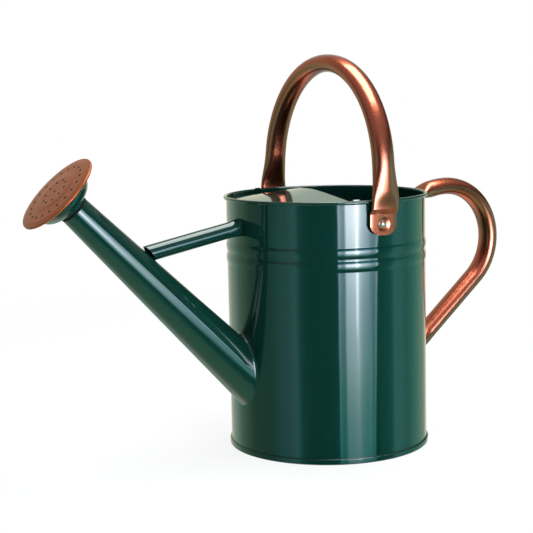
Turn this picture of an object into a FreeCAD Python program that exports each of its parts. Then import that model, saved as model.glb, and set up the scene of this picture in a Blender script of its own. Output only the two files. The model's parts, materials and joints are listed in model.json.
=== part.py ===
import FreeCAD, Part
import math
import os
from FreeCAD import Vector

# A 4.5 litre sheet-steel watering can, in millimetres.
# +Z is up, the origin is the centre of the base on the ground, the spout points to -X.
# The carrying bail spans the can along Y and the pouring handle is at +X.

# Sheet stock and running gaps
SHEET = 0.7                  # sheet of the can, the hood, the spout and the rose
TUBE_WALL = 1.0              # wall of the two handle tubes
RUNNING_GAP = 0.3            # between curved faces that move past each other
FIT_GAP = 0.08               # radial play of the rose's rubber seal and spigot
EDGE_R = 0.3                 # rounding of a cut edge
BEND_R = 0.6                 # rounding of a tight bend
PRESS_R = 1.2                # rounding of a wide bend in the base

# Can body
BODY_R = 85.0                # outside of the wall
BODY_H = 215.5               # ground to the top of the rim
CURL_R = 1.5                 # rolled rim, outside radius of the curl
CURL_END = 8.0               # degrees by which the curl stops short of the wall
BEAD_DROP = 42.3             # rim top down to the middle of the upper bead
BEAD_PITCH = 10.6
BEAD_COUNT = 2
BEAD_TALL = 8.8
BEAD_PROUD = 0.7
BEAD_EASE = 0.45             # part of each flank that turns into the wall
HEM_TALL = 4.9               # seam that joins the wall and the base
HEM_PROUD = 1.35
PAN_RECESS = 5.5             # underside of the base above the ground
PAN_PANEL_R = 62.0           # raised middle of the base
PAN_PANEL_RISE = 1.2

# Hood: a shallow cone over the spout side of the mouth
HOOD_DROP = 4.5              # rim top down to the hood's foot
HOOD_SLOPE = 0.14            # rise per millimetre towards the middle
HOOD_EDGE_X = -17.0          # its free edge
HOOD_FLANGE = 6.0            # skirt fixed to the inside of the wall
HOOD_HEM = 5.0               # folded safe edge
HOOD_EAR = 5.5               # upright tab on the wall near each end of the free edge
HOOD_EAR_BACK = 1.5          # free edge back to the tab
HOOD_EAR_RISE = 0.8          # its top above the rim

# Spout and its brace
SPOUT_TILT = 45.0            # degrees from upright
SPOUT_ROOT_Z = 71.9          # where its axis meets the wall
SPOUT_LENGTH = 204.0
SPOUT_ROOT_R = 20.7
SPOUT_TIP_R = 12.4
SPOUT_FILLET = 2.0           # soldered fillet around its foot
BRACE_R = 6.7
BRACE_DROP = 23.5            # rim top down to the centre of the brace at the wall
BRACE_SLOPE = 10.4           # degrees, down towards the spout
BRACE_LIFT = 1.35            # middle of its open end above the spout
BRACE_CUT = 24.0             # degrees by which the open end is cut off square
BRACE_CRIMP = 9.0            # length of the flared end at the wall
BRACE_FLARE_TALL = 1.2       # growth of its half height and loss of its half width
BRACE_FLARE_SLIM = 0.6
BRACE_SUNK = 4.0             # how far the flare runs on before the wall trims it

# Rose: seal, spigot, bowl and perforated face
SEAL_FLANGE = 2.0            # thickness of the visible rubber collar
SEAL_PROUD = 0.2
SEAL_SLEEVE = 14.0           # length inside the spout
SPIGOT_R = 9.4
SPIGOT_LENGTH = 20.0
SPIGOT_LIP = 1.6             # turned-out lip inside the bowl
BOWL_NECK_R = 12.4
BOWL_NECK = 2.0              # short neck that stands on the seal
BOWL_NECK_HOLLOW = 0.6       # part of its height that is the hollow under the bowl
BOWL_ARC_R = 13.6            # round side of the bowl
BOWL_SIDE = 0.8              # straight side between the round and the flange
FACE_R = 35.9
FACE_HEM = 2.2               # how far the edge is folded in behind the bowl's flange
FACE_EDGE = 1.7              # flat edge that lies on the bowl's flange
FACE_BAND = 3.2              # band that slopes up from the edge
FACE_BAND_RISE = 0.6
FACE_FIELD_RISE = 0.5        # slope of the field that holds the outer ring of holes
FACE_MIDDLE_R = 16.0         # raised middle of the face
FACE_STEP = 5.0              # width and height of the soft step around it
FACE_STEP_RISE = 0.7
FACE_STEP_R = 16.0           # roundings of the step, of the ridge inside the band and of its foot
FACE_RIDGE_R = 4.0
FACE_FOOT_R = 1.5
HOLE_R = 1.0
HOLE_INNER_R = 11.5
HOLE_INNER_COUNT = 10
HOLE_OUTER_R = 26.0
HOLE_OUTER_COUNT = 20
HOLE_START = 10.6            # degrees round to the first hole of each ring

# Handle tube: an oval that is pressed flat at its ends
OVAL_WIDE = 9.7              # half width
OVAL_THICK = 7.45            # half thickness
FLAT_WIDE = 13.4
FLAT_THICK = 1.0
FLAT_POWER = 5.0             # squareness of the flattened section

# Bail
BAIL_RISE = 110.0            # rim top up to the tube's centre
BAIL_ARCH = 90.0             # height of the half-ellipse arch
BAIL_CENTRE_OUT = 2.0        # tube's centre line outside the wall
BAIL_LEAN = 1.5              # degrees that it stands towards the pouring handle
BAIL_RIM_GAP = 0.4           # pressed leg past the rim
BAIL_PIVOT_DROP = 19.7       # rim top down to the pivot
BAIL_CREASE_DROP = 11.5      # rim top down to the crease above the foot
BAIL_RIM_WIDE = 12.6         # half width of the leg at the shoulder
BAIL_FOOT_OUT = 2.3          # foot's centre line outside the wall
BAIL_FOOT_WIDE = 12.85       # half width of the foot
BAIL_FOOT_CORNER = 10.0      # rounding of its lower corners
BAIL_FOOT_LENGTH = 8.8       # pivot down to the foot's lower edge
BAIL_RIM_DROP = 2.0          # rim top down to where the leg starts to open inwards
BAIL_SHOULDER_DROP = 7.2     # rim top down to the shoulder, where the leg folds in to the foot
BAIL_SHOULDER_IN = 2.0       # outer face at the shoulder, in from the tube's
BAIL_SHOULDER_POWER = 3.6    # squareness of the leg at the shoulder
BAIL_PANEL = 16.0            # flattened panel from the shoulder up
BAIL_PRESS_LENGTH = 31.0     # rim top up to the open tube
DIMPLE_R = 6.2               # pressed dish around the pivot
DIMPLE_FLOOR_R = 3.6
DIMPLE_WALL = 0.8

# Rivets
RIVET_R = 1.6
RIVET_HEAD_R = 2.7
RIVET_DOME = 1.6
RIVET_TAIL_R = 2.9
RIVET_TAIL = 1.3

# Pouring handle
HANDLE_APEX_OUT = 42.0       # wall to the highest point of the centre line
HANDLE_APEX_DROP = 1.2       # rim top down to that point
HANDLE_TOP_R = 75.0
HANDLE_BACK_R = 48.3
HANDLE_LEG_ANGLE = 40.5      # degrees below level
HANDLE_BEND_R = 8.0
HANDLE_FOOT = 18.0           # flattened foot against the wall
HANDLE_FOOT_CORNER = 8.0     # rounding of its lower corners
HANDLE_FOOT_BED = 0.25       # foot pressed to the curve of the wall
HANDLE_PRESS_LENGTH = 22.0

BODY_IN = BODY_R - SHEET
RIM_R = BODY_IN + 2 * CURL_R
SPOUT_ROOT = Vector(-BODY_R, 0, SPOUT_ROOT_Z)
UP = Vector(0, 0, 1)
AXIS_Y = Vector(0, 1, 0)
FAR = 400.0                  # larger than the can, for cutting tools
SPARE = 5.0                  # how far a cutting tool runs past what it cuts
LEAST_BORE = 0.5             # half height at which the bore of a pressed tube ends


# ---------------------------------------------------------------- helpers

def rounded_outline(corners):
    """Closed face in the XZ plane from (x, z, corner radius) triples."""
    places = [Vector(x, 0, z) for x, z, radius in corners]
    starts = []
    arcs = []
    ends = []
    for index, (x, z, radius) in enumerate(corners):
        corner = places[index]
        back = (places[index - 1] - corner).normalize()
        ahead = (places[(index + 1) % len(corners)] - corner).normalize()
        half_angle = back.getAngle(ahead) / 2
        cut = radius / math.tan(half_angle)
        starts.append(corner + back * cut)
        ends.append(corner + ahead * cut)
        middle = (back + ahead).normalize()
        arcs.append(corner + middle * (radius / math.sin(half_angle) - radius))
    edges = []
    for index in range(len(corners)):
        if corners[index][2] > 0:
            edges.append(Part.Arc(starts[index], arcs[index], ends[index]).toShape())
        following = starts[(index + 1) % len(corners)]
        if following.distanceToPoint(ends[index]) > 1e-6:
            edges.append(Part.LineSegment(ends[index], following).toShape())
    return Part.Face(Part.Wire(edges))


def turned(face):
    """Solid of revolution about Z."""
    return face.revolve(Vector(), UP, 360)


def arc_band(centre_r, centre_z, inner, outer, start, end):
    """Face in the XZ plane between two arcs, angles in degrees from +X."""
    def place(radius, angle):
        turn = math.radians(angle)
        return Vector(centre_r + radius * math.cos(turn), 0, centre_z + radius * math.sin(turn))
    middle = (start + end) / 2
    outside = Part.Arc(place(outer, start), place(outer, middle), place(outer, end)).toShape()
    inside = Part.Arc(place(inner, end), place(inner, middle), place(inner, start)).toShape()
    tail = Part.LineSegment(place(outer, end), place(inner, end)).toShape()
    head = Part.LineSegment(place(inner, start), place(outer, start)).toShape()
    return Part.Face(Part.Wire([outside, tail, inside, head]))


def slab(low_x, high_x):
    """Block across the whole can between two X planes."""
    return Part.makeBox(high_x - low_x, 2 * FAR, 2 * FAR, Vector(low_x, -FAR, -FAR))


def can_cylinder(radius):
    return Part.makeCylinder(radius, BODY_H, Vector(), UP)


def place_on_spout(shape, along):
    """Move a shape built on +Z to the spout's axis, `along` from where that meets the wall."""
    turn = FreeCAD.Rotation(AXIS_Y, -SPOUT_TILT)
    placed = shape.copy()
    placed.Placement = FreeCAD.Placement(SPOUT_ROOT + turn.multVec(UP * along), turn)
    return placed


def blend(value, low, high):
    """Smooth step from 0 at low to 1 at high."""
    share = min(max((value - low) / (high - low), 0.0), 1.0)
    return share * share * (3 - 2 * share)


# ---------------------------------------------------------------- can body

def bead(wall_r, middle):
    """Corners of one round bead rolled outwards into a wall."""
    half = BEAD_TALL / 2
    slope = 2 * math.atan(BEAD_PROUD / half)
    crest_r = (half / math.cos(slope) - BEAD_EASE) / math.tan(slope)
    foot_r = BEAD_EASE / math.tan(slope / 2)
    return [
        (wall_r, middle - half, foot_r),
        (wall_r + half * math.tan(slope), middle, crest_r),
        (wall_r, middle + half, foot_r),
    ]


def body_shell():
    foot_r = BODY_R + HEM_PROUD - SHEET
    outside = [(foot_r, SHEET, EDGE_R), (foot_r, HEM_TALL - SHEET, 0), (BODY_R, HEM_TALL - SHEET, 0)]
    inside = [(BODY_IN, SHEET, 0)]
    lowest = BODY_H - BEAD_DROP - (BEAD_COUNT - 1) * BEAD_PITCH
    for index in range(BEAD_COUNT):
        outside += bead(BODY_R, lowest + index * BEAD_PITCH)
        inside += bead(BODY_IN, lowest + index * BEAD_PITCH)
    curl_z = BODY_H - CURL_R
    outside.append((BODY_R, curl_z, 0))
    inside.append((BODY_IN, curl_z, 0))
    wall = turned(rounded_outline(outside + inside[::-1]))
    lift = math.degrees(math.acos((CURL_R - SHEET) / CURL_R))
    curl = turned(arc_band(BODY_IN + CURL_R, curl_z, CURL_R - SHEET, CURL_R, 180, lift - 180 + CURL_END))
    shell = wall.fuse(curl).removeSplitter()
    shell = shell.cut(spout_cone(-SHEET))
    return shell.cut(wall_rivet_holes())


def base_pan():
    seam_r = BODY_R + HEM_PROUD
    leg_r = BODY_IN - SHEET
    panel = PAN_RECESS + PAN_PANEL_RISE
    ramp_r = PAN_PANEL_R + PAN_PANEL_RISE
    outline = [
        (0, panel + SHEET, 0),
        (PAN_PANEL_R, panel + SHEET, PRESS_R),
        (ramp_r, PAN_RECESS + SHEET, PRESS_R),
        (BODY_IN, PAN_RECESS + SHEET, EDGE_R + SHEET),
        (BODY_IN, SHEET, 0),
        (seam_r - SHEET, SHEET, EDGE_R),
        (seam_r - SHEET, HEM_TALL - SHEET, 0),
        (BODY_R, HEM_TALL - SHEET, 0),
        (BODY_R, HEM_TALL, 0),
        (seam_r, HEM_TALL, EDGE_R + SHEET),
        (seam_r, 0, EDGE_R + SHEET),
        (leg_r, 0, BEND_R),
        (leg_r, PAN_RECESS, EDGE_R),
        (ramp_r, PAN_RECESS, PRESS_R),
        (PAN_PANEL_R, panel, PRESS_R),
        (0, panel, 0),
    ]
    return turned(rounded_outline(outline))


def fill_hood():
    foot_z = BODY_H - HOOD_DROP
    inner_r = -HOOD_EDGE_X / 2
    top_z = foot_z + HOOD_SLOPE * (BODY_IN - inner_r)
    outline = [
        (BODY_IN, foot_z, EDGE_R + SHEET),
        (BODY_IN, foot_z - HOOD_FLANGE, 0),
        (BODY_IN - SHEET, foot_z - HOOD_FLANGE, 0),
        (BODY_IN - SHEET, foot_z - SHEET, EDGE_R),
        (inner_r, top_z - SHEET, 0),
        (inner_r, top_z, 0),
    ]
    cone = turned(rounded_outline(outline))
    hood = cone.common(slab(-FAR, HOOD_EDGE_X))
    fold = cone.translated(Vector(0, 0, -SHEET)).common(can_cylinder(BODY_IN - SHEET - PRESS_R))
    fold = fold.common(slab(HOOD_EDGE_X - HOOD_HEM, HOOD_EDGE_X))
    ear_low = foot_z - HOOD_FLANGE
    ear_high = BODY_H + HOOD_EAR_RISE
    ear = turned(rounded_outline([
        (BODY_IN - SHEET, ear_low, 0), (BODY_IN, ear_low, 0),
        (BODY_IN, ear_high, 0), (BODY_IN - SHEET, ear_high, 0)]))
    ear_x = HOOD_EDGE_X - HOOD_EAR_BACK
    ear = ear.common(slab(ear_x - HOOD_EAR, ear_x))
    return hood.fuse([fold, ear]).removeSplitter()


# ---------------------------------------------------------------- spout

def spout_taper():
    """Radius lost per millimetre of the spout's length."""
    return (SPOUT_ROOT_R - SPOUT_TIP_R) / SPOUT_LENGTH


def spout_cone(grow, overrun=0.0):
    """The spout's outside as a solid cone, `grow` larger, run back through the wall."""
    back = SPOUT_ROOT_R + SPOUT_FILLET
    root_r = SPOUT_ROOT_R + grow + spout_taper() * back
    tip_r = SPOUT_TIP_R + grow - spout_taper() * overrun
    cone = Part.makeCone(root_r, tip_r, back + SPOUT_LENGTH + overrun)
    return place_on_spout(cone, -back)


def spout_tube():
    can = can_cylinder(BODY_R)
    joined = can.fuse(spout_cone(0)).Solids[0]
    foot = []
    for edge in joined.Edges:
        middle = edge.valueAt((edge.FirstParameter + edge.LastParameter) / 2)
        on_wall = abs(math.hypot(middle.x, middle.y) - BODY_R) < 0.01
        if on_wall and middle.x < 0 and 0.1 < middle.z < BODY_H - 0.1:
            foot.append(edge)
    filleted = joined.makeFillet(SPOUT_FILLET, foot)
    tube = filleted.cut(can)
    return tube.cut(spout_cone(-SHEET, SPARE))


def spout_brace():
    slope = math.radians(BRACE_SLOPE)
    run = Vector(math.cos(slope), 0, math.sin(slope))
    lift = Vector(-math.sin(slope), 0, math.cos(slope))
    at_wall = Vector(-BODY_R, 0, BODY_H - BRACE_DROP)
    spout = outward_at(90 + SPOUT_TILT)
    over_spout = outward_at(SPOUT_TILT) + spout * spout_taper()
    height = (at_wall - SPOUT_ROOT).dot(over_spout)
    length = (height - SPOUT_ROOT_R - BRACE_LIFT) / run.dot(over_spout)

    def section(place, tall, wide):
        ring = Part.Ellipse(Vector(0, 0, 0), tall, wide).toShape()
        ring.Placement = FreeCAD.Placement(place, FreeCAD.Rotation(lift, AXIS_Y, Vector(0, 0, 0), "XYZ"))
        return Part.Wire([ring])

    def rod(shrink):
        radius = BRACE_R - shrink
        flare_start = at_wall - run * BRACE_CRIMP
        ring = section(flare_start, radius, radius)
        tube = Part.Face(ring).extrude(run * (BRACE_CRIMP - length - BRACE_R))
        flare = Part.makeLoft([
            ring,
            section(at_wall + run * BRACE_SUNK, radius + BRACE_FLARE_TALL, radius - BRACE_FLARE_SLIM)], True)
        return tube.fuse(flare)

    mouth = at_wall - run * length
    offcut = Part.makeBox(FAR, 2 * BRACE_R, FAR, Vector(-FAR, -BRACE_R, -FAR / 2))
    offcut.Placement = FreeCAD.Placement(
        mouth, FreeCAD.Rotation(AXIS_Y, -BRACE_SLOPE - BRACE_CUT)).multiply(offcut.Placement)
    brace = rod(0).cut(rod(SHEET)).cut(offcut)
    return brace.cut(can_cylinder(BODY_R)).cut(spout_cone(0))


# ---------------------------------------------------------------- rose

def rose_seal():
    bore = SPIGOT_R + FIT_GAP
    collar_r = SPOUT_TIP_R + SEAL_PROUD
    sleeve_r = SPOUT_TIP_R - SHEET - FIT_GAP
    outline = [
        (bore, -SEAL_SLEEVE, EDGE_R),
        (sleeve_r, -SEAL_SLEEVE, BEND_R),
        (sleeve_r, 0, 0),
        (collar_r, 0, EDGE_R),
        (collar_r, SEAL_FLANGE, BEND_R),
        (bore, SEAL_FLANGE, 0),
    ]
    return place_on_spout(turned(rounded_outline(outline)), SPOUT_LENGTH)


def rose_spigot():
    lip_z = SEAL_FLANGE + SHEET
    bore = SPIGOT_R - SHEET
    outline = [
        (bore, lip_z - SPIGOT_LENGTH, 0),
        (SPIGOT_R, lip_z - SPIGOT_LENGTH, EDGE_R),
        (SPIGOT_R, lip_z, 0),
        (SPIGOT_R + SPIGOT_LIP, lip_z, 0),
        (SPIGOT_R + SPIGOT_LIP, lip_z + SHEET, EDGE_R),
        (bore, lip_z + SHEET, EDGE_R),
    ]
    return place_on_spout(turned(rounded_outline(outline)), SPOUT_LENGTH)


def bowl_flange_z():
    return SEAL_FLANGE + BOWL_NECK + BOWL_ARC_R + BOWL_SIDE


def rose_bowl():
    flange_z = bowl_flange_z()
    arc_z = flange_z - BOWL_SIDE
    neck_z = arc_z - BOWL_ARC_R
    side_r = BOWL_NECK_R + BOWL_ARC_R
    flange_r = FACE_R - SHEET
    neck_in = BOWL_NECK_R - SHEET
    hollow = BOWL_NECK * BOWL_NECK_HOLLOW
    floor = turned(rounded_outline([
        (SPIGOT_R, SEAL_FLANGE, 0), (BOWL_NECK_R, SEAL_FLANGE, BOWL_NECK - hollow),
        (BOWL_NECK_R, neck_z, hollow), (BOWL_NECK_R + BOWL_NECK, neck_z, 0),
        (BOWL_NECK_R + BOWL_NECK, neck_z + SHEET, 0), (neck_in, neck_z + SHEET, BEND_R),
        (neck_in, SEAL_FLANGE + SHEET, 0), (SPIGOT_R, SEAL_FLANGE + SHEET, 0)]))
    side = turned(arc_band(BOWL_NECK_R, arc_z, BOWL_ARC_R - SHEET, BOWL_ARC_R, -90, 0))
    flange = turned(rounded_outline([
        (side_r - SHEET, arc_z, 0), (side_r, arc_z, 0), (side_r, flange_z, BEND_R),
        (flange_r, flange_z, 0), (flange_r, flange_z + SHEET, 0),
        (side_r - SHEET, flange_z + SHEET, BEND_R)]))
    bowl = floor.fuse([side, flange]).removeSplitter()
    return place_on_spout(bowl, SPOUT_LENGTH)


def face_line(edge_z):
    """Corners of the face from its flat edge in to its middle, for the surface at edge_z."""
    band_r = FACE_R - FACE_EDGE
    ridge_r = band_r - FACE_BAND
    ridge_z = edge_z + FACE_BAND_RISE
    field_z = ridge_z + FACE_FIELD_RISE
    middle_z = field_z + FACE_STEP_RISE
    return [
        (band_r, edge_z, FACE_FOOT_R),
        (ridge_r, ridge_z, FACE_RIDGE_R),
        (FACE_MIDDLE_R + FACE_STEP, field_z, FACE_STEP_R),
        (FACE_MIDDLE_R, middle_z, FACE_STEP_R),
        (0, middle_z, 0),
    ]


def rose_face():
    flange_z = bowl_flange_z()
    seat = flange_z + SHEET
    top = seat + SHEET
    hem_r = FACE_R - SHEET - FACE_HEM
    roll_r = BEND_R + EDGE_R
    edge = [
        (FACE_R - SHEET, seat, 0), (FACE_R - SHEET, flange_z, 0), (hem_r, flange_z, 0),
        (hem_r, flange_z - SHEET, 0), (FACE_R, flange_z - SHEET, roll_r), (FACE_R, top, roll_r)]
    face = turned(rounded_outline(face_line(seat)[::-1] + edge + face_line(top)))
    drill_z = seat
    drill_length = 2 * SHEET + FACE_BAND_RISE + FACE_FIELD_RISE + FACE_STEP_RISE
    drills = [Part.makeCylinder(HOLE_R, drill_length, Vector(0, 0, drill_z))]
    for ring_r, count in ((HOLE_INNER_R, HOLE_INNER_COUNT), (HOLE_OUTER_R, HOLE_OUTER_COUNT)):
        for index in range(count):
            place = outward_at(360 * index / count + HOLE_START) * ring_r
            place = Vector(place.x, place.z, drill_z)
            drills.append(Part.makeCylinder(HOLE_R, drill_length, place))
    face = face.cut(drills)
    return place_on_spout(face, SPOUT_LENGTH)


# ---------------------------------------------------------------- handles

def oval(place, outward, across, wide, thick, power):
    """Closed section of a handle tube, from an oval at power 2 to a pressed strip above it."""
    count = 16
    points = []
    for index in range(count):
        turn = 2 * math.pi * index / count
        cos = math.cos(turn)
        sin = math.sin(turn)
        x = math.copysign(abs(cos) ** (2 / power), cos) * wide
        y = math.copysign(abs(sin) ** (2 / power), sin) * thick
        points.append(place + across * x + outward * y)
    curve = Part.BSplineCurve()
    steps = [float(index) for index in range(count + 1)]
    curve.interpolate(Points=points, PeriodicFlag=True, Parameters=steps)
    return Part.Wire([curve.toShape()])


def mix(start, end, share):
    return start + (end - start) * share


def swept(section, edges):
    """Solid of one section carried along a smooth path."""
    return Part.Wire(edges).makePipeShell([section], True, False)


def pressed(stations, shrink):
    """Solid through stations of (place, outward, across, half width, half thickness, power)."""
    sections = []
    for place, outward, across, wide, thick, power in stations:
        if thick > shrink + LEAST_BORE:
            sections.append(oval(place, outward, across, wide - shrink, thick - shrink, power))
    return Part.makeLoft(sections, True)


def line(start, end):
    return Part.LineSegment(start, end).toShape()


def arc(centre, radius, start, end):
    """Arc in the XZ plane, angles in degrees from +X towards +Z."""
    places = []
    for angle in (start, (start + end) / 2, end):
        places.append(centre + outward_at(angle) * radius)
    return Part.Arc(*places).toShape()


def outward_at(angle):
    turn = math.radians(angle)
    return Vector(math.cos(turn), 0, math.sin(turn))


def bail_press(side):
    """Stations from the shoulder above the foot up to the open tube, on one side of the can."""
    centre_z = BODY_H + BAIL_RISE - BAIL_ARCH
    leg_y = BODY_R + BAIL_CENTRE_OUT
    rim_z = BODY_H - BAIL_RIM_DROP
    shoulder_z = BODY_H - BAIL_SHOULDER_DROP
    top_z = BODY_H + BAIL_PRESS_LENGTH
    stations = []
    steps = 13
    for index in range(steps + 1):
        z = mix(shoulder_z, top_z, index / steps)
        above = max(z - centre_z, 0) / BAIL_ARCH
        tube_y = leg_y * math.sqrt(1 - above ** 2)
        opening = blend(z, rim_z, top_z)
        rounding = blend(z, shoulder_z, shoulder_z + BAIL_PANEL)
        inner_y = mix(RIM_R + BAIL_RIM_GAP, tube_y - OVAL_THICK, opening)
        outer_y = tube_y + OVAL_THICK - mix(BAIL_SHOULDER_IN, 0, rounding)
        lean = math.atan2(BAIL_ARCH * math.sqrt(1 - above ** 2), leg_y * above)
        outward = Vector(0, side * math.sin(lean), math.cos(lean))
        place = Vector(0, side * (inner_y + outer_y) / 2, z)
        wide = mix(BAIL_RIM_WIDE, OVAL_WIDE, opening)
        power = mix(BAIL_SHOULDER_POWER, 2, rounding)
        stations.append((place, outward, Vector(1, 0, 0), wide, (outer_y - inner_y) / 2, power))
    return stations


def bail_arch(shrink):
    """The open tube over the can, along the upper part of an ellipse."""
    centre = Vector(0, 0, BODY_H + BAIL_RISE - BAIL_ARCH)
    leg_y = BODY_R + BAIL_CENTRE_OUT
    place, outward, across, wide, thick, power = bail_press(-1)[-1]
    spread = math.acos((place.z - centre.z) / BAIL_ARCH)
    points = []
    count = 24
    for index in range(count + 1):
        turn = spread * (2 * index / count - 1)
        points.append(centre + Vector(0, leg_y * math.sin(turn), BAIL_ARCH * math.cos(turn)))
    path = Part.BSplineCurve()
    path.interpolate(points)
    return swept(oval(place, outward, across, wide - shrink, thick - shrink, 2), [path.toShape()])


def bail_foot(side):
    """Flat plate below the crease, longer than the finished foot, and the fold above it."""
    outward = Vector(0, side, 0)
    crease = outward * (BODY_R + BAIL_FOOT_OUT) + UP * (BODY_H - BAIL_CREASE_DROP)
    end = crease - UP * (BAIL_PIVOT_DROP + BAIL_FOOT_LENGTH + SPARE - BAIL_CREASE_DROP)
    plate = oval(crease, outward, Vector(1, 0, 0), BAIL_FOOT_WIDE, FLAT_THICK, FLAT_POWER)
    fold = Part.makeLoft([plate, oval(*bail_press(side)[0])], True, True)
    return [swept(plate, [line(crease, end)]), fold]


def foot_trim(wide, corner, low_z, depth):
    """Cutter that rounds the lower corners of a flat foot: a block along Y from 0 to depth."""
    high_z = low_z + corner
    block = Part.makeBox(2 * FAR, depth, corner + SPARE, Vector(-FAR, 0, low_z - SPARE))
    keep = rounded_outline([
        (-wide, low_z, corner), (wide, low_z, corner),
        (wide, high_z + SPARE, 0), (-wide, high_z + SPARE, 0)])
    return block.cut(keep.extrude(Vector(0, depth, 0)))


def top_handle():
    bail = bail_arch(0)
    bore = bail_arch(TUBE_WALL)
    for side in (-1, 1):
        bail = bail.fuse([pressed(bail_press(side), 0)] + bail_foot(side))
        bore = bore.fuse(pressed(bail_press(side), TUBE_WALL))
    bail = bail.cut(bore)
    pivot = Vector(0, 0, BODY_H - BAIL_PIVOT_DROP)
    trim = foot_trim(BAIL_FOOT_WIDE, BAIL_FOOT_CORNER, pivot.z - BAIL_FOOT_LENGTH, 2 * FAR)
    bail = bail.cut(trim.translated(Vector(0, -FAR, 0)))
    inner_y = BODY_R + BAIL_FOOT_OUT - FLAT_THICK
    outer_y = BODY_R + BAIL_FOOT_OUT + FLAT_THICK
    sink = inner_y - BODY_R - RUNNING_GAP
    lap = FLAT_THICK / 4
    flare = (DIMPLE_R - DIMPLE_FLOOR_R) / sink * (sink + lap)
    for side in (-1, 1):
        out = Vector(0, side, 0)
        floor_r = DIMPLE_FLOOR_R + DIMPLE_WALL
        bump = Part.makeCone(floor_r, floor_r + flare, sink + lap, pivot + out * (inner_y - sink), out)
        floor_r = DIMPLE_FLOOR_R
        dish = Part.makeCone(floor_r, floor_r + flare, sink + lap, pivot + out * (outer_y - sink), out)
        hole = Part.makeCylinder(RIVET_R + FIT_GAP, 4 * BAIL_FOOT_OUT, pivot + out * BODY_R, out)
        bail = bail.fuse(bump).cut(dish).cut(hole)
    bail = bail.removeSplitter()
    bail.rotate(pivot, AXIS_Y, BAIL_LEAN)
    return bail


class HandleLine:
    """Centre line of the pouring handle in the XZ plane: foot, bend, arcs, leg, bend, foot."""

    def __init__(self):
        foot_x = BODY_R + FLAT_THICK - HANDLE_FOOT_BED
        apex = Vector(BODY_R + HANDLE_APEX_OUT, 0, BODY_H - HANDLE_APEX_DROP)
        self.lean = math.degrees(math.asin(
            (apex.x - foot_x - HANDLE_BEND_R) / (HANDLE_TOP_R - HANDLE_BEND_R)))
        self.top = apex - UP * HANDLE_TOP_R
        self.back = apex - UP * HANDLE_BACK_R
        self.upper_bend = self.top + outward_at(90 + self.lean) * (HANDLE_TOP_R - HANDLE_BEND_R)
        self.leg_out = outward_at(HANDLE_LEG_ANGLE - 90)
        self.leg_start = self.back + self.leg_out * HANDLE_BACK_R
        self.leg_run = outward_at(HANDLE_LEG_ANGLE + 180)
        end_x = foot_x + HANDLE_BEND_R * (1 - self.leg_out.x)
        self.leg_end = self.leg_start + self.leg_run * ((end_x - self.leg_start.x) / self.leg_run.x)
        self.lower_bend = self.leg_end + self.leg_out * HANDLE_BEND_R
        self.upper_foot = Vector(foot_x, 0, self.upper_bend.z)
        self.lower_foot = Vector(foot_x, 0, self.lower_bend.z)
        self.rivet_drop = HANDLE_FOOT / 2


def tube_share(share):
    """Half width, half thickness and power of the section, pressed at share 0, open at 1."""
    open_share = blend(share, 0, 1)
    wide = mix(FLAT_WIDE, OVAL_WIDE, open_share)
    thick = mix(FLAT_THICK, OVAL_THICK, open_share)
    return wide, thick, mix(FLAT_POWER, 2, open_share)


def upper_press(track):
    """Stations from the upper bend along the top arc to the open tube."""
    stations = []
    steps = 6
    sweep = math.degrees(HANDLE_PRESS_LENGTH / HANDLE_TOP_R)
    for index in range(steps + 1):
        outward = outward_at(90 + track.lean - sweep * index / steps)
        place = track.top + outward * HANDLE_TOP_R
        stations.append((place, outward, AXIS_Y) + tube_share(index / steps))
    return stations


def lower_press(track):
    """Stations from the lower bend up the straight leg to the open tube."""
    stations = []
    steps = 6
    for index in range(steps + 1):
        place = track.leg_end - track.leg_run * (HANDLE_PRESS_LENGTH * index / steps)
        stations.append((place, track.leg_out, AXIS_Y) + tube_share(index / steps))
    return stations


def handle_grip(track, shrink):
    """The open tube between the two pressed ends."""
    place, outward = upper_press(track)[-1][:2]
    start = math.degrees(math.atan2(outward.z, outward.x))
    tail = lower_press(track)[-1][0]
    path = [
        arc(track.top, HANDLE_TOP_R, start, 90),
        arc(track.back, HANDLE_BACK_R, 90, HANDLE_LEG_ANGLE - 90),
        line(track.leg_start, tail),
    ]
    section = oval(place, outward, AXIS_Y, OVAL_WIDE - shrink, OVAL_THICK - shrink, 2)
    return swept(section, path)


def rear_handle():
    track = HandleLine()
    foot = UP * HANDLE_FOOT
    flat = (FLAT_WIDE, FLAT_THICK, FLAT_POWER)
    upper = swept(oval(track.upper_foot - foot, outward_at(180), AXIS_Y, *flat), [
        line(track.upper_foot - foot, track.upper_foot),
        arc(track.upper_bend, HANDLE_BEND_R, 180, 90 + track.lean)])
    lower = swept(oval(track.lower_foot - foot, outward_at(0), AXIS_Y, *flat), [
        line(track.lower_foot - foot, track.lower_foot),
        arc(track.lower_bend, HANDLE_BEND_R, 180, 90 + HANDLE_LEG_ANGLE)])
    tube = handle_grip(track, 0).fuse([
        pressed(upper_press(track), 0), pressed(lower_press(track), 0), upper, lower])
    bore = handle_grip(track, TUBE_WALL).fuse([
        pressed(upper_press(track), TUBE_WALL), pressed(lower_press(track), TUBE_WALL)])
    handle = tube.cut(bore).cut(can_cylinder(BODY_R))
    for low in (track.upper_foot - foot, track.lower_foot - foot):
        trim = foot_trim(FLAT_WIDE, HANDLE_FOOT_CORNER, low.z, low.x + 2 * FLAT_THICK)
        trim.rotate(Vector(), UP, -90)
        handle = handle.cut(trim)
    return handle.cut(handle_rivet_holes(track)).removeSplitter()


# ---------------------------------------------------------------- rivets

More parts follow.
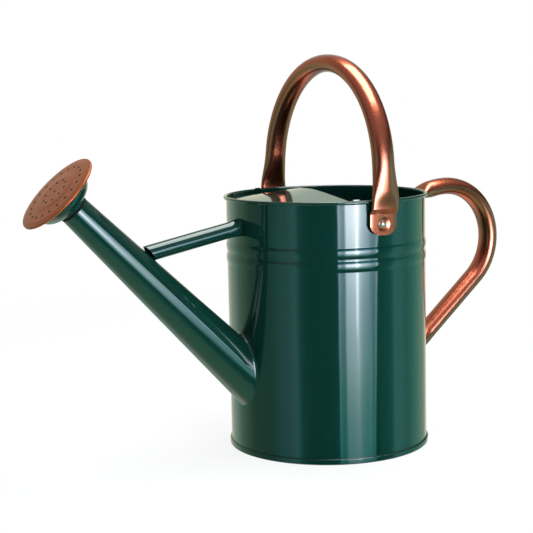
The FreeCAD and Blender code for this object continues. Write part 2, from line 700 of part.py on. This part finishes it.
def rivet(seat_out):
    """Domed rivet on +Z: its shank runs out from the can's axis and its head seats at seat_out."""
    shank = Part.makeCylinder(RIVET_R, seat_out - BODY_IN + RIVET_TAIL, Vector(0, 0, BODY_IN - RIVET_TAIL))
    dome_r = (RIVET_HEAD_R ** 2 + RIVET_DOME ** 2) / (2 * RIVET_DOME)
    half = math.degrees(math.asin(RIVET_HEAD_R / dome_r))
    centre_z = seat_out + RIVET_DOME - dome_r
    head = Part.makeSphere(dome_r, Vector(0, 0, centre_z), UP)
    head = head.common(Part.makeBox(2 * FAR, 2 * FAR, FAR, Vector(-FAR, -FAR, seat_out)))
    tail = Part.makeCylinder(RIVET_TAIL_R, RIVET_TAIL + SHEET, Vector(0, 0, BODY_IN - RIVET_TAIL))
    return shank, head, tail


def rivet_places():
    """Each rivet as (height, heading, head seat): two bail pivots, then the handle's feet."""
    pivot_z = BODY_H - BAIL_PIVOT_DROP
    sink = BAIL_FOOT_OUT - FLAT_THICK - RUNNING_GAP
    pivot_seat = BODY_R + BAIL_FOOT_OUT + FLAT_THICK - sink + FIT_GAP
    track = HandleLine()
    foot_seat = track.upper_foot.x + FLAT_THICK
    return [
        (pivot_z, Vector(0, -1, 0), pivot_seat),
        (pivot_z, Vector(0, 1, 0), pivot_seat),
        (track.upper_foot.z - track.rivet_drop, Vector(1, 0, 0), foot_seat),
        (track.lower_foot.z - track.rivet_drop, Vector(1, 0, 0), foot_seat),
    ]


def wall_rivet_holes():
    """Drills through the can's wall only."""
    holes = []
    for height, heading, seat in rivet_places():
        start = Vector(0, 0, height) + heading * (BODY_IN - RIVET_TAIL)
        holes.append(Part.makeCylinder(RIVET_R, RIVET_TAIL + 2 * SHEET, start, heading))
    return holes


def handle_rivet_holes(track):
    """Drills through the two feet of the pouring handle."""
    holes = []
    for foot in (track.upper_foot, track.lower_foot):
        start = Vector(BODY_IN, 0, foot.z - track.rivet_drop)
        holes.append(Part.makeCylinder(RIVET_R, SHEET + 3 * FLAT_THICK, start, Vector(1, 0, 0)))
    return holes


def placed_rivets(places):
    inside = can_cylinder(BODY_IN)
    found = []
    for height, heading, seat in places:
        turn = FreeCAD.Rotation(UP, heading)
        placement = FreeCAD.Placement(Vector(0, 0, height), turn)
        pieces = []
        for piece in rivet(seat):
            moved = piece.copy()
            moved.Placement = placement.multiply(piece.Placement)
            pieces.append(moved)
        shank, head, tail = pieces
        found.append(shank.fuse([head, tail.common(inside)]).removeSplitter())
    return Part.makeCompound(found)


# ---------------------------------------------------------------- export

def main():
    os.makedirs("parts", exist_ok=True)
    places = rivet_places()
    nodes = {
        "body_shell": body_shell(),
        "base_pan": base_pan(),
        "fill_hood": fill_hood(),
        "spout_tube": spout_tube(),
        "spout_brace": spout_brace(),
        "rose_seal": rose_seal(),
        "rose_spigot": rose_spigot(),
        "rose_bowl": rose_bowl(),
        "rose_face": rose_face(),
        "top_handle": top_handle(),
        "rear_handle": rear_handle(),
        "bail_rivets": placed_rivets(places[:2]),
        "handle_rivets": placed_rivets(places[2:]),
    }
    for name, shape in nodes.items():
        shape.exportStep("parts/" + name + ".step")
        print(name, shape.isValid(), len(shape.Solids), round(shape.Volume))


main()
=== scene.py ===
"""A sheet-steel watering can in gloss green enamel with copper-plated handles and rose."""
import json
import math

import bmesh
import bpy
from mathutils import Euler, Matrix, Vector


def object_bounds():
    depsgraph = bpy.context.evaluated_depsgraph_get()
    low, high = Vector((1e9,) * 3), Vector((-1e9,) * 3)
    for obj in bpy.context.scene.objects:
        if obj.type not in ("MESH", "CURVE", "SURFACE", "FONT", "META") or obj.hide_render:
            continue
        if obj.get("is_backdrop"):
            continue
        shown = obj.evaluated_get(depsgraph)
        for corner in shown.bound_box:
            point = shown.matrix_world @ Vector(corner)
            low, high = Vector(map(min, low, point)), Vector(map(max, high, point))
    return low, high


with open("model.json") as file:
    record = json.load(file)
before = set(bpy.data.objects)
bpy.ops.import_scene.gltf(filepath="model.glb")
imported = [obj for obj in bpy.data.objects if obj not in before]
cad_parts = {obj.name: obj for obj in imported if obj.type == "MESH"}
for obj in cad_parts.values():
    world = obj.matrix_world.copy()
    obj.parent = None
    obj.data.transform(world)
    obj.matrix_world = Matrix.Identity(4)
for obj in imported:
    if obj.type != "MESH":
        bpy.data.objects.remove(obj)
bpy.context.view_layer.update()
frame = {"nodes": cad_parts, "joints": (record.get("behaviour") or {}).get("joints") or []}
NODES = frame["nodes"]
JOINTS = {joint["name"]: joint for joint in frame["joints"]}

WHITE = (1.0, 1.0, 1.0, 1.0)


# ------------------------------------------------------------ shader helpers

class Wire:
    """A value on its way through a node tree, which can be written into sums."""

    def __init__(self, finish, socket):
        self.finish = finish
        self.socket = socket

    def __add__(self, other):
        return self.finish.maths("ADD", self, other)

    __radd__ = __add__

    def __sub__(self, other):
        return self.finish.maths("SUBTRACT", self, other)

    def __rsub__(self, other):
        return self.finish.maths("SUBTRACT", other, self)

    def __mul__(self, other):
        return self.finish.maths("MULTIPLY", self, other)

    __rmul__ = __mul__

    def __truediv__(self, other):
        return self.finish.maths("DIVIDE", self, other)

    def __rtruediv__(self, other):
        return self.finish.maths("DIVIDE", other, self)


class Finish:
    """The node tree of a material or of the world, with one way to add a node."""

    def __init__(self, tree):
        self.tree = tree
        self.tree.nodes.clear()

    def node(self, kind, settings=None, inputs=None, output=0):
        """Add a node, with its settings first and then the values or wires of its sockets."""
        made = self.tree.nodes.new(kind)
        for name, value in (settings or {}).items():
            if name == "stops":
                self.set_stops(made.color_ramp, value)
            else:
                setattr(made, name, value)
        for name, value in (inputs or {}).items():
            if isinstance(value, Wire):
                self.tree.links.new(value.socket, made.inputs[name])
            else:
                made.inputs[name].default_value = value
        return Wire(self, made.outputs[output]) if len(made.outputs) else None

    @staticmethod
    def set_stops(ramp, stops):
        while len(ramp.elements) < len(stops):
            ramp.elements.new(0.5)
        for element, (position, level) in zip(ramp.elements, stops):
            element.position = position
            element.color = (level, level, level, 1)

    # coordinates and sums

    def place(self):
        """Where the surface is, in the frame of the can, in metres."""
        return self.node("ShaderNodeTexCoord", output="Object")

    def split(self, vector):
        """The X, Y and Z of a vector."""
        first = self.node("ShaderNodeSeparateXYZ", inputs={"Vector": vector})
        return [Wire(self, part) for part in first.socket.node.outputs]

    def maths(self, operation, *values):
        return self.node("ShaderNodeMath", {"operation": operation}, dict(enumerate(values)))

    def length(self, across, along):
        return self.maths("SQRT", across * across + along * along)

    def profile(self, value, places):
        """The level along a value, from (value, level) places."""
        low = places[0][0]
        reach = places[-1][0] - low
        stops = [((at - low) / reach, level) for at, level in places]
        return self.node("ShaderNodeValToRGB", {"stops": stops}, {"Fac": (value - low) / reach})

    def spread(self, value, low, high, to_low=0.0, to_high=1.0):
        """A soft step from to_low to to_high as the value goes from low to high."""
        return self.node("ShaderNodeMapRange", {"interpolation_type": "SMOOTHSTEP"}, {
            "Value": value, "From Min": low, "From Max": high, "To Min": to_low, "To Max": to_high})

    # textures and colours

    def noise(self, place, scale, detail):
        return self.node("ShaderNodeTexNoise", inputs={
            "Vector": place, "Scale": scale, "Detail": detail})

    def bump(self, height, distance, under=None):
        """A bump that is distance metres tall, laid over another bump where one is given."""
        inputs = {"Height": height, "Distance": distance}
        if under:
            inputs["Normal"] = under
        return self.node("ShaderNodeBump", inputs=inputs)

    def colour(self, red, green, blue):
        return self.node("ShaderNodeCombineXYZ", inputs={0: red, 1: green, 2: blue})

    def blend(self, share, first, second):
        return self.node("ShaderNodeMix", {"data_type": "RGBA"}, {0: share, 6: first, 7: second}, 2)

    # shaders

    def surface(self, **sockets):
        """The whole surface of a material; Base_Color stands for the Base Color socket."""
        named = {key.replace("_", " "): value for key, value in sockets.items()}
        shader = self.node("ShaderNodeBsdfPrincipled", inputs=named)
        self.node("ShaderNodeOutputMaterial", inputs={"Surface": shader})

    def glow(self, colour):
        return self.node("ShaderNodeEmission", inputs={"Color": colour, "Strength": 1.0})

    def either(self, share, first, second):
        return self.node("ShaderNodeMixShader", inputs={0: share, 1: first, 2: second})

    def ray(self, kind):
        return self.node("ShaderNodeLightPath", output=kind)


def rgb(red, green, blue):
    return (red, green, blue, 1.0)


def new_material(name):
    material = bpy.data.materials.new(name)
    material.use_nodes = True
    return material, Finish(material.node_tree)


# ------------------------------------------------------------ finishes

# Rose face: the radius and count of each ring of holes, where both rings start, and how far
# from a hole's middle the painted shade round the hole begins to fade and has gone
HOLE_RINGS = ((0.0115, 10), (0.026, 20))
HOLE_START = math.radians(10.6)
HOLE_SHADE_IN = 0.0011
HOLE_SHADE_OUT = 0.0016


def green_enamel():
    """Stoved gloss enamel: deep green with a faint orange peel and the ripple of the sheet."""
    material, finish = new_material("stoved_green_enamel")
    place = finish.place()
    cloud = finish.noise(place, scale=9.0, detail=3.0)
    shade = finish.blend(cloud, rgb(0.0021, 0.0226, 0.0165), rgb(0.0027, 0.0266, 0.0193))
    speck = finish.spread(finish.noise(place, scale=900.0, detail=1.0), 0.66, 0.78)
    shade = finish.blend(speck * 0.2, shade, rgb(0.012, 0.045, 0.036))
    ripple = finish.bump(finish.noise(place, scale=22.0, detail=1.0), 0.00016)
    peel = finish.bump(finish.noise(place, scale=420.0, detail=2.0), 0.000002, ripple)
    worn = finish.noise(place, scale=60.0, detail=4.0)
    finish.surface(Base_Color=shade, Metallic=0.1, Roughness=0.06 + worn * 0.02, IOR=1.6,
                   Normal=peel)
    return material


def copper_plate():
    """Satin copper plating under clear lacquer, cloudy and finely brushed."""
    material, finish = new_material("satin_copper")
    place = finish.place()
    cloud = finish.noise(place, scale=30.0, detail=4.0)
    shade = finish.blend(cloud, rgb(0.49, 0.108, 0.054), rgb(0.58, 0.138, 0.072))
    grain = finish.noise(place, scale=1400.0, detail=2.0)
    finish.surface(Base_Color=shade, Metallic=1.0, Roughness=0.25 + cloud * 0.05,
                   Specular_Tint=rgb(0.20, 0.12, 0.09), Normal=finish.bump(grain, 0.000001),
                   Coat_Weight=0.7, Coat_Roughness=0.14)
    return material


def matt_copper():
    """Dull brown copper of the rose face: fine grain, soft patches, painted shade round holes."""
    material, finish = new_material("rose_copper")
    place = finish.place()
    cloud = finish.noise(place, scale=55.0, detail=4.0)
    shade = finish.blend(cloud, rgb(0.340, 0.063, 0.011), rgb(0.405, 0.085, 0.023))
    grain = finish.noise(place, scale=1100.0, detail=3.0)
    shade = finish.blend(finish.spread(grain, 0.62, 0.80) * 0.35, shade, rgb(0.12, 0.05, 0.028))
    # painted shade: dark copper round the edge of every hole stands in for the shade inside it
    shade = finish.blend(hole_shade_rings(finish, place) * 0.85, shade, rgb(0.035, 0.012, 0.007))
    finish.surface(Base_Color=shade, Metallic=0.6, Roughness=0.38 + cloud * 0.08,
                   Normal=finish.bump(grain, 0.00002))
    return material


def hole_shade_rings(finish, place):
    """Painted shade of the rose face: 1 at the edge of every hole, found round the rose's axis."""
    x, across, z = finish.split(place)
    turn = JOINTS["rose_turn"]
    centre, axis = turn["pos_m"], turn["axis"]
    uphill = (x - centre[0]) * axis[2] - (z - centre[2]) * axis[0]
    out = finish.length(uphill, across)
    angle = finish.maths("ARCTAN2", across, uphill)
    hole_shade = 1 - finish.spread(out, HOLE_SHADE_IN, HOLE_SHADE_OUT)
    for ring, count in HOLE_RINGS:
        half = math.pi / count
        along = finish.maths("WRAP", angle - HOLE_START, half, -half) * ring
        miss = finish.length(out - ring, along)
        hole_shade = hole_shade + (1 - finish.spread(miss, HOLE_SHADE_IN, HOLE_SHADE_OUT))
    return hole_shade


def black_rubber():
    """Black rubber with a dull, slightly dusty skin."""
    material, finish = new_material("seal_rubber")
    grain = finish.noise(finish.place(), scale=700.0, detail=3.0)
    shade = finish.blend(grain, rgb(0.002, 0.003, 0.003), rgb(0.006, 0.007, 0.007))
    finish.surface(Base_Color=shade, Roughness=0.6 + grain * 0.2, Specular_IOR_Level=0.15,
                   Normal=finish.bump(grain, 0.00003))
    return material


def bright_steel():
    """Bare bright steel of the rivets and the rose's spigot, with a fine drawn grain."""
    material, finish = new_material("rivet_steel")
    grain = finish.noise(finish.place(), scale=900.0, detail=3.0)
    shade = finish.blend(grain, rgb(0.55, 0.56, 0.58), rgb(0.75, 0.76, 0.78))
    finish.surface(Base_Color=shade, Metallic=1.0, Roughness=0.22 + grain * 0.12,
                   Normal=finish.bump(grain, 0.00001))
    return material


def dress():
    """Give every node its finish."""
    wear = {
        green_enamel(): (
            "body_shell", "base_pan", "fill_hood", "spout_tube", "spout_brace", "rose_bowl"),
        copper_plate(): ("top_handle", "rear_handle"),
        matt_copper(): ("rose_face",),
        black_rubber(): ("rose_seal",),
        bright_steel(): ("rose_spigot", "bail_rivets", "handle_rivets"),
    }
    for material, names in wear.items():
        for name in names:
            for slot in NODES[name].material_slots:
                slot.material = material


# ------------------------------------------------------------ camera

CAMERA_PLACE = (-0.62085, -1.00133, 0.31556)
CAMERA_TURN = (82.136, 1.2311, -29.4587)     # degrees about X, Y and Z
CAMERA_LENS = 93.06
CAMERA_SENSOR = 36.0
CAMERA_CLIP = (0.05, 50.0)


def place_camera():
    data = bpy.data.cameras.new("camera")
    data.lens = CAMERA_LENS
    data.sensor_width = CAMERA_SENSOR
    data.clip_start, data.clip_end = CAMERA_CLIP
    camera = bpy.data.objects.new("camera", data)
    camera.location = CAMERA_PLACE
    camera.rotation_euler = Euler([math.radians(turn) for turn in CAMERA_TURN])
    bpy.context.scene.collection.objects.link(camera)
    bpy.context.scene.camera = camera


# ------------------------------------------------------------ studio

# Softbox: it stands beside the camera, parallel to X; lengths in metres
SOFTBOX_AWAY = -1.25                         # along Y
SOFTBOX_LEFT, SOFTBOX_RIGHT = -0.432, 0.66   # along X
SOFTBOX_LOW, SOFTBOX_HIGH = -0.55, 0.56      # along Z
SOFTBOX_LIGHT = 18.0
LAMP_LIGHT = 7.0                             # added in the narrow hot line of its lamp
LAMP_WIDTH = ((0.010, 0), (0.028, 1), (0.055, 1), (0.070, 0))
LAMP_FOOT = (-0.153, -0.055)                 # heights between which the hot line starts
FABRIC_ACROSS = (                            # (x, level) of the lit fabric
    (SOFTBOX_LEFT, 0.28), (-0.409, 0.34), (-0.358, 0.22), (-0.269, 0.17), (-0.213, 0.80),
    (-0.12, 0.82), (-0.02, 0.93), (0.035, 1.08), (0.060, 1.18), (0.085, 0.96), (0.10, 0.82),
    (0.13, 0.67), (0.162, 0.56), (0.247, 0.42), (0.333, 0.34), (0.40, 0.20), (0.43, 0),
    (SOFTBOX_RIGHT, 0))
SEAM_ACROSS = (                              # (x, level) of the thin bright fabric past the frame
    (0.395, 0), (0.43, 0.17), (0.54, 0.17), (0.575, 0.28), (0.59, 0.37), (0.61, 0.37), (0.625, 0))
SEAM_KINK = -0.03                            # height below which the seam leans
SEAM_LEAN = 0.37
FABRIC_DOWN = (                              # (z, level), fading toward the floor and the top
    (SOFTBOX_LOW, 0), (-0.45, 0.018), (-0.38, 0.04), (-0.31, 0.08), (-0.24, 0.135),
    (-0.153, 0.27), (-0.065, 0.42), (0.016, 0.65), (0.08, 0.95), (0.12, 1.0), (0.35, 1.0),
    (0.43, 0.4), (0.49, 0.06), (SOFTBOX_HIGH, 0))
TINT_STEPS = ((0, 0), (0.05, 0.4), (0.17, 0.65), (0.34, 1), (1.5, 1))   # (fabric level, tint)
TINT_FOOT = (-0.46, -0.30)                   # heights between which the tint starts
TINT_GREEN = 1.5
TINT_BLUE = (1.4, 2.2)                       # low and high on the softbox
TINT_BLUE_BAND = (-0.22, 0.0)
SOFTBOX_BLUE = 1.08

# Panel over the can, in metres
PANEL_HEIGHT = 1.2
PANEL_CORNERS = ((-0.22, -0.60), (0.60, 0.48))
PANEL_EDGE = 0.12
PANEL_LIGHT = (8.6, 9.1, 8.8)

# Room, by degrees turned from the side of the can that faces the camera
FRONT_HEADING = -121.8                       # degrees from +X to that side
ROOM_LEFT = (                                # (turn, level) of the walls, left of the can
    (-180, 0.92), (-152, 0.78), (-135, 0.68), (-124, 0.52), (-114, 0.40), (-104, 0.30),
    (-97, 0.20), (-80, 0.17), (-68, 0.15), (-58, 0.20), (-49, 0.26), (-42, 0.34), (-36, 0.34),
    (-33, 0.20), (-29, 0.07), (-22, 0.02), (0, 0.006), (66, 0.02), (150, 0), (180, 0.92))
ROOM_RIGHT = (                               # more on the right, where the light ends lower
    (66, 0), (73, 0.02), (79, 0.06), (84, 0.34), (90, 0.33), (97, 0.26), (105, 0.18), (118, 0.28),
    (132, 0.46), (146, 0.58), (160, 0.78), (180, 0))
GREEN_HAZE = (                               # green that the painted walls add, (turn, level)
    (-180, 0), (-168, 0), (-152, 0.12), (-140, 0.24), (-131, 0.35), (-122, 0.27), (-110, 0.31),
    (-98, 0.22), (-70, 0.20), (-62, 0.29), (-54, 0.44), (-46, 0.33), (-36, 0.60), (-31, 0.24),
    (-24, 0.10), (-10, 0), (8, 0.06), (11, 0.17), (60, 0.10), (76, 0.26), (83, 0.66), (98, 0.54),
    (105, 0.44), (118, 0.52), (133, 0.42), (140, 0.26), (150, 0.11), (158, 0), (180, 0))
BLUE_HAZE = (
    (-180, 0), (-168, 0), (-152, 0.09), (-140, 0.19), (-131, 0.29), (-122, 0.18), (-110, 0.11),
    (-98, 0.10), (-70, 0.08), (-62, 0.20), (-54, 0.43), (-46, 0.31), (-36, 0.60), (-31, 0.22),
    (-24, 0.04), (-10, 0), (8, 0.05), (11, 0.17), (60, 0.06), (76, 0.18), (83, 0.62), (98, 0.46),
    (105, 0.27), (118, 0.38), (133, 0.12), (150, 0.06), (158, 0), (180, 0))
BEHIND = ((-180, 1), (-120, 1), (-92, 0), (130, 0), (155, 1), (180, 1))

# Room, by degrees above the level: (from, to) of each soft step
RIGHT_FADE = (0.0, 14.0)
RIGHT_LOST = 0.75                            # share of the right side's light that the fade takes
WALL_FADE = (28.0, 46.0)
WALL_LOST = 0.5
CEILING = (12.0, 34.0)
CEILING_LIGHT = 0.34
HAZE_FADE = (4.0, 14.0)
SWEEP_STEP = (6.0, 18.0)                     # the white sweep turns from warm to neutral
SWEEP_GREEN = (1.0, 1.14)
SWEEP_BLUE = (0.78, 0.96)
DUSK = (-24.0, -12.0)                        # below this the sweep is darker and greener
DUSK_SHADE = (0.5, 0.78, 0.86)               # share of red, green and blue that is left there
WALL_BLUE = 1.02
TABLE_EDGE = (-52.0, -33.0)

TABLE_LIGHT = (                              # table under the can, (turn, level)
    (-180, 1.25), (-148, 1.25), (-130, 1.0), (-115, 0.72), (-100, 0.52), (-80, 0.46), (0, 0.42),
    (100, 0.40), (150, 0.7), (180, 1.25))
TABLE_GREEN = (                              # green that the can throws on it
    (-180, 0), (-130, 0.1), (-100, 0.3), (-60, 0.36), (20, 0.36), (60, 0.12), (180, 0))
TABLE_FRONT = (0.8, 0.82, 0.6)               # share of red, green and blue before the can
TABLE_BACK = (1.0, 1.0, 0.8)                 # and behind it
GREEN_TO_BLUE = 0.5

# Floor: a round sheet just under the can, brighter to the camera away from the can's shadow
FLOOR_RADIUS = 2.2
FLOOR_SIDES = 96
FLOOR_GAP = 0.0002
SHADOW_REACH = (0.3, 1.0)
SHADOW_SHARE = 0.86


def flat_sheet(name, finish_name, corners):
    """A flat piece of studio kit of its own finish, which isn't part of the can."""
    mesh = bmesh.new()
    mesh.faces.new([mesh.verts.new(corner) for corner in corners])
    data = bpy.data.meshes.new(name)
    mesh.to_mesh(data)
    mesh.free()
    sheet = bpy.data.objects.new(name, data)
    bpy.context.scene.collection.objects.link(sheet)
    sheet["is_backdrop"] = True
    material, finish = new_material(finish_name)
    data.materials.append(material)
    return sheet, finish


def light_card(name, corners):
    """A flat lamp that reflections and shading see and the camera doesn't."""
    card, finish = flat_sheet(name, name + "_glow", corners)
    card.visible_camera = False
    card.active_material.cycles.emission_sampling = "FRONT_BACK"
    return finish


def shine(finish, red, green, blue):
    glow = finish.glow(finish.colour(red, green, blue))
    finish.node("ShaderNodeOutputMaterial", inputs={"Surface": glow})


def softbox():
    """Tall softbox beside the camera: fabric, a hot lamp behind it and a bright seam."""
    finish = light_card("softbox", [
        (SOFTBOX_LEFT, SOFTBOX_AWAY, SOFTBOX_LOW), (SOFTBOX_RIGHT, SOFTBOX_AWAY, SOFTBOX_LOW),
        (SOFTBOX_RIGHT, SOFTBOX_AWAY, SOFTBOX_HIGH), (SOFTBOX_LEFT, SOFTBOX_AWAY, SOFTBOX_HIGH)])
    aside, _, height = finish.split(finish.place())
    leaning = aside - (finish.maths("MINIMUM", height, SEAM_KINK) - SEAM_KINK) * SEAM_LEAN
    level = finish.profile(aside, FABRIC_ACROSS) + finish.profile(leaning, SEAM_ACROSS)
    lamp = finish.profile(aside, LAMP_WIDTH) * finish.spread(height, *LAMP_FOOT)
    white = level * finish.profile(height, FABRIC_DOWN) * SOFTBOX_LIGHT + lamp * LAMP_LIGHT
    tint = finish.profile(level, TINT_STEPS) * finish.spread(height, *TINT_FOOT)
    bluer = finish.spread(height, *TINT_BLUE_BAND, *TINT_BLUE)
    shine(finish, white, white + tint * TINT_GREEN, white * SOFTBOX_BLUE + tint * bluer)


def overhead_panel():
    """Soft panel hung over the can, fading out toward its edges."""
    low, high = PANEL_CORNERS
    finish = light_card("overhead_panel", [
        (low[0], low[1], PANEL_HEIGHT), (low[0], high[1], PANEL_HEIGHT),
        (high[0], high[1], PANEL_HEIGHT), (high[0], low[1], PANEL_HEIGHT)])
    fades = [
        finish.spread(along, start, start + PANEL_EDGE)
        * (1 - finish.spread(along, end - PANEL_EDGE, end))
        for along, start, end in zip(finish.split(finish.place()), low, high)]
    share = fades[0] * fades[1]
    shine(finish, *[share * level for level in PANEL_LIGHT])


def studio_world():
    """White sweep behind the can, a dim tinted room in front, a pale table and a faint ceiling."""
    world = bpy.data.worlds.new("studio")
    bpy.context.scene.world = world
    world.use_nodes = True
    room = Finish(world.node_tree)
    east, north, rise = room.split(room.node("ShaderNodeTexCoord", output="Generated"))
    front = math.radians(FRONT_HEADING)
    ahead = east * math.cos(front) + north * math.sin(front)
    aside = north * math.cos(front) - east * math.sin(front)
    turn = room.maths("ARCTAN2", aside, ahead) * math.degrees(1)
    height = room.maths("ARCSINE", rise) * math.degrees(1)

    right_fade = 1 - room.spread(height, *RIGHT_FADE) * RIGHT_LOST
    walls = room.profile(turn, ROOM_LEFT) + room.profile(turn, ROOM_RIGHT) * right_fade
    walls = walls * (1 - room.spread(height, *WALL_FADE) * WALL_LOST)
    walls = room.maths("MAXIMUM", walls, room.spread(height, *CEILING) * CEILING_LIGHT)
    low = 1 - room.spread(height, *HAZE_FADE)
    green_haze = room.profile(turn, GREEN_HAZE) * low
    blue_haze = room.profile(turn, BLUE_HAZE) * low
    cool = room.colour(walls, walls + green_haze, walls * WALL_BLUE + blue_haze)
    red, green, blue = [
        walls * room.spread(height, *DUSK, share, 1.0) for share in DUSK_SHADE]
    green = green * room.spread(height, *SWEEP_STEP, *SWEEP_GREEN) + green_haze
    blue = blue * room.spread(height, *SWEEP_STEP, *SWEEP_BLUE) + blue_haze
    behind = room.profile(turn, BEHIND)
    around = room.blend(behind, cool, room.colour(red, green, blue))

    table = room.profile(turn, TABLE_LIGHT)
    green = room.profile(turn, TABLE_GREEN)
    red, pale, blue = [table * share for share in TABLE_FRONT]
    bounced = room.colour(red, pale + green, blue + green * GREEN_TO_BLUE)
    plain = room.colour(*[table * share for share in TABLE_BACK])
    under = room.blend(behind, bounced, plain)

    colour = room.blend(room.spread(height, *TABLE_EDGE), under, around)
    lit = room.node("ShaderNodeBackground", inputs={"Color": colour, "Strength": 1.0})
    white = room.node("ShaderNodeBackground", inputs={"Color": WHITE, "Strength": 1.0})
    mixed = room.either(room.ray("Is Camera Ray"), lit, white)
    room.node("ShaderNodeOutputWorld", inputs={"Surface": mixed})


def pale_floor():
    """White floor that keeps the can's soft shadow and lets the room show in its reflections."""
    step = math.tau / FLOOR_SIDES
    floor, finish = flat_sheet("floor", "white_sweep", [
        (FLOOR_RADIUS * math.cos(side * step), FLOOR_RADIUS * math.sin(side * step), 0)
        for side in range(FLOOR_SIDES)])
    floor.location.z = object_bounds()[0].z - FLOOR_GAP
    away = finish.node(
        "ShaderNodeVectorMath", {"operation": "LENGTH"}, {0: finish.place()}, "Value")
    lit = finish.ray("Is Camera Ray") * finish.spread(away, *SHADOW_REACH, SHADOW_SHARE, 1.0)
    paint = finish.node("ShaderNodeBsdfDiffuse", inputs={"Color": rgb(0.9, 0.9, 0.9)})
    seen = finish.either(lit, paint, finish.glow(WHITE))
    clear = finish.node("ShaderNodeBsdfTransparent", inputs={"Color": WHITE})
    mixed = finish.either(finish.ray("Is Glossy Ray"), seen, clear)
    finish.node("ShaderNodeOutputMaterial", inputs={"Surface": mixed})


# ------------------------------------------------------------ assembly

bpy.context.scene.view_settings.view_transform = "Standard"
place_camera()
studio_world()
softbox()
overhead_panel()
pale_floor()
dress()
